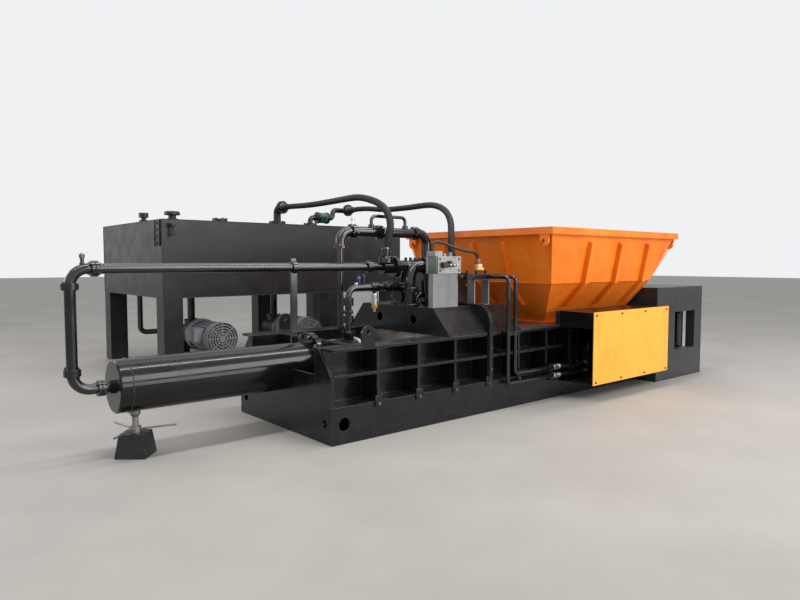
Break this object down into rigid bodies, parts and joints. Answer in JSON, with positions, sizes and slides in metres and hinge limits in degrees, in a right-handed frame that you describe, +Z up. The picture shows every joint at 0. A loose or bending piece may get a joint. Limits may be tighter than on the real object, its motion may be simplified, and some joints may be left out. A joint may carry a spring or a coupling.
{
  "type": "recycling baler",
  "caption": "Horizontal scrap baler: ram cylinder, ribbed press body, two-slope hopper, lift gate frame, guarded valves and a raised oil tank joined by hoses.",
  "frame": {"origin": "on the floor, on the press axis, at the cylinder end of the base", "axes": "+X along the press from the cylinder towards the gate, +Y from the press towards the power unit, +Z up"},
  "size_m": [7.358, 6.458, 2.29],
  "materials": {
    "body_paint": "semi-gloss black paint over rolled plate",
    "frame_paint": "dark grey paint, dusty",
    "pipe_paint": "semi-gloss black paint on pipe",
    "hopper_paint": "semi-gloss orange paint",
    "cover_paint": "semi-gloss yellow orange paint",
    "machined_steel": "machined steel",
    "hard_chrome": "ground and chromed",
    "fastener_steel": "blackened bolts",
    "block_alloy": "milled",
    "coil_casing": "moulded coil casing",
    "stand_paint": "light grey primer",
    "wear_steel": "worn plate",
    "jack_iron": "rough casting",
    "jack_steel": "lightly rusted",
    "tank_paint": "semi-gloss dark grey paint",
    "motor_paint": "grey machine enamel",
    "pump_iron": "cast housing",
    "valve_paint": "green enamel",
    "hose_rubber": "cloth-finished rubber cover"
  },
  "bodies": {
    "frame": {"base_frame": "body_paint", "press_body": "body_paint", "side_walls": "body_paint", "deck_plate": "body_paint", "hood": "body_paint", "saddle_frame": "body_paint", "cylinder_barrel": "body_paint", "cylinder_cap": "body_paint", "cylinder_gland": "machined_steel", "flange_bolts": "fastener_steel", "end_frame": "frame_paint", "end_walls": "frame_paint", "bale_chamber": "frame_paint", "gate_barrels": "pipe_paint", "guard_box": "body_paint", "guard_cover": "cover_paint", "cover_bolts": "fastener_steel", "gate_block": "body_paint", "gate_lines": "pipe_paint", "hopper": "hopper_paint", "hopper_ribs": "hopper_paint", "hopper_hooks": "hopper_paint", "feed_riser": "pipe_paint", "feed_pipe": "pipe_paint", "support_post": "pipe_paint", "rod_side_pipe": "pipe_paint", "upper_pipe": "pipe_paint", "pilot_bridge": "pipe_paint", "main_manifold": "pipe_paint", "valve_block": "block_alloy", "solenoid_valve": "coil_casing", "block_stand": "stand_paint", "pressure_switch": "machined_steel", "tube_manifold": "pipe_paint", "portal_stand": "stand_paint", "front_tubes": "pipe_paint", "tube_clamps": "pipe_paint", "jack_block": "jack_iron", "oil_tank": "tank_paint", "tank_legs": "tank_paint", "motors": "motor_paint", "pumps": "pump_iron", "suction_pipes": "pipe_paint", "tank_valve": "valve_paint", "return_hose": "hose_rubber", "supply_hose": "hose_rubber", "gate_hose_upper": "hose_rubber", "gate_hose_lower": "hose_rubber"},
    "ram": {"piston": "machined_steel", "piston_rod": "hard_chrome", "ram": "wear_steel", "ram_liners": "machined_steel"},
    "gate": {"discharge_gate": "frame_paint", "gate_rods": "hard_chrome"},
    "jack_nut": {"jack_nut": "jack_steel"},
    "jack_screw": {"jack_screw": "jack_steel"},
    "tank_valve_lever": {"tank_valve_lever": "machined_steel"},
    "vent_lever": {"vent_lever": "machined_steel"},
    "rotor_1": {"motor_rotor_1": "machined_steel"},
    "rotor_2": {"motor_rotor_2": "machined_steel"}
  },
  "joints": [
    {"name": "ram_slide", "type": "slide", "parent": "frame", "child": "ram", "axis": [1, 0, 0], "range_m": [0, 1.48]},
    {"name": "gate_lift", "type": "slide", "parent": "frame", "child": "gate", "axis": [0, 0, 1], "range_m": [0, 0.4]},
    {"name": "jack_nut_turn", "type": "hinge", "parent": "frame", "child": "jack_nut", "pos_m": [-1.24, 0, 0.2], "axis": [0, 0, 1], "range_deg": [0, 2700]},
    {"name": "jack_screw_drop", "type": "slide", "parent": "frame", "child": "jack_screw", "axis": [0, 0, 1], "range_m": [-0.06, 0]},
    {"name": "tank_valve_turn", "type": "hinge", "parent": "frame", "child": "tank_valve_lever", "pos_m": [2.4, 2.885, 2.082], "axis": [0, 1, 0], "range_deg": [0, 90]},
    {"name": "vent_turn", "type": "hinge", "parent": "frame", "child": "vent_lever", "pos_m": [-1.575, 0, 1.502], "axis": [0, 0, 1], "range_deg": [0, 90]},
    {"name": "rotor_1_spin", "type": "hinge", "parent": "frame", "child": "rotor_1", "pos_m": [0.705, 2.8, 0.475], "axis": [0, 1, 0], "continuous": true},
    {"name": "rotor_2_spin", "type": "hinge", "parent": "frame", "child": "rotor_2", "pos_m": [1.985, 2.8, 0.475], "axis": [0, 1, 0], "continuous": true}
  ],
  "couplings": [
    {"joint": "jack_screw_drop", "follows": "jack_nut_turn", "m_per_rad": -0.0012732}
  ]
}
